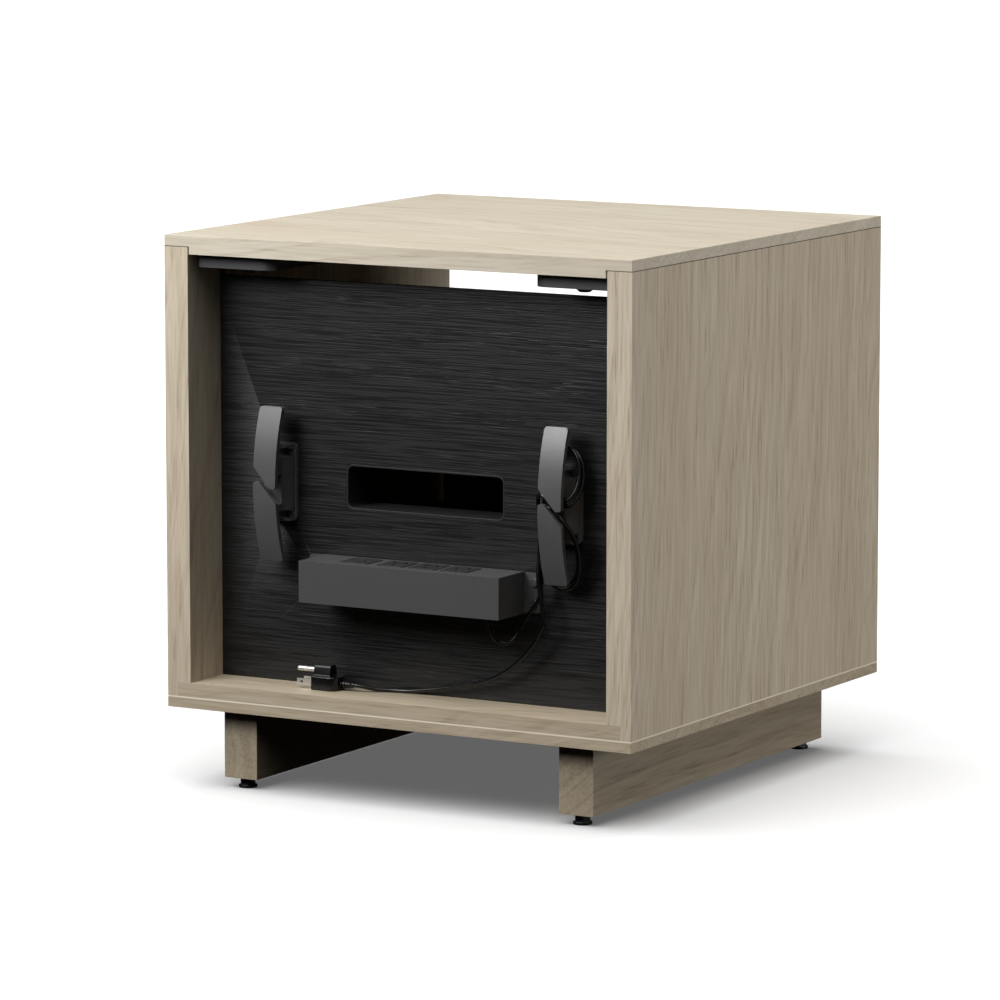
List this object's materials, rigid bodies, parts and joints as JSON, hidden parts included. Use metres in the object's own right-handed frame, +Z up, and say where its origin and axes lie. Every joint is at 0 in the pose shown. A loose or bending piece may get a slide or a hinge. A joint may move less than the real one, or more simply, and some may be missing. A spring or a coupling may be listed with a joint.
{
  "type": "media cabinet",
  "caption": "Pale oak media cabinet on two runners with levelling feet, an open bay, a hinged door, and a recessed black back panel with cord cleats, a cable slot and a power strip.",
  "frame": {"origin": "on the floor, in the middle of the cabinet's width and depth", "axes": "+Z up; the door and the open bay face -Y; the cable side faces +Y; +X is to the right seen from the cable side's front, the door side"},
  "size_m": [0.508, 0.515, 0.535],
  "materials": {
    "oak": "pale limed oak veneer, matte",
    "runner_oak": "limed solid oak, matte",
    "beech": "plain dowel wood",
    "black_oak": "black-stained open-pored oak veneer",
    "black_plastic": "fine matte",
    "foot_plastic": "satin gloss",
    "dark_coated_steel": "dark grey powder coat",
    "grey_plastic": "soft matte grey",
    "zinc_steel": "bright zinc",
    "brass": "plain",
    "cord_jacket": "black vinyl with a soft sheen",
    "nickel": "nickel plate"
  },
  "bodies": {
    "case": {"top_panel": "oak", "side_left": "oak", "side_right": "oak", "bottom_panel": "oak", "fixed_shelf": "oak", "adjustable_shelf": "oak", "shelf_pins": "zinc_steel", "back_panel": "black_oak", "slot_liner": "black_plastic", "dowels": "beech", "runner_left": "runner_oak", "runner_right": "runner_oak", "runner_screws": "zinc_steel", "foot_inserts": "zinc_steel", "bracket_back_left": "dark_coated_steel", "bracket_back_right": "dark_coated_steel", "bracket_front_left": "dark_coated_steel", "bracket_front_right": "dark_coated_steel", "bracket_knobs": "black_plastic", "bracket_inserts": "brass", "bracket_screws": "zinc_steel", "hinge_pins": "zinc_steel", "magnet_catch": "black_plastic", "catch_screws": "zinc_steel", "cleat_left": "grey_plastic", "cleat_right": "grey_plastic", "cleat_screws": "zinc_steel", "strip_housing": "dark_coated_steel", "strip_back_plate": "dark_coated_steel", "strip_outlets": "black_plastic", "strip_bus_bars": "brass", "strip_screws": "zinc_steel", "cord_gland": "cord_jacket", "cord_lead": "cord_jacket", "cord_winding": "cord_jacket", "cord_tail": "cord_jacket", "plug_relief": "cord_jacket", "plug_body": "cord_jacket", "plug_blades": "nickel", "plug_ground_pin": "nickel"},
    "door": {"door_panel": "oak", "hinge_bushes": "brass", "door_pull": "dark_coated_steel", "pull_screws": "zinc_steel", "strike_plate": "zinc_steel"},
    "foot_back_left": {"foot_back_left": "foot_plastic"},
    "foot_back_right": {"foot_back_right": "foot_plastic"},
    "foot_front_left": {"foot_front_left": "foot_plastic"},
    "foot_front_right": {"foot_front_right": "foot_plastic"}
  },
  "joints": [
    {"name": "door_hinge", "type": "hinge", "parent": "case", "child": "door", "pos_m": [-0.2165, -0.2285, 0.2315], "axis": [0, 0, -1], "range_deg": [0, 100]},
    {"name": "foot_screw_back_left", "type": "slide", "parent": "case", "child": "foot_back_left", "axis": [0, 0, -1], "range_m": [0, 0.012]},
    {"name": "foot_screw_back_right", "type": "slide", "parent": "case", "child": "foot_back_right", "axis": [0, 0, -1], "range_m": [0, 0.012]},
    {"name": "foot_screw_front_left", "type": "slide", "parent": "case", "child": "foot_front_left", "axis": [0, 0, -1], "range_m": [0, 0.012]},
    {"name": "foot_screw_front_right", "type": "slide", "parent": "case", "child": "foot_front_right", "axis": [0, 0, -1], "range_m": [0, 0.012]}
  ]
}
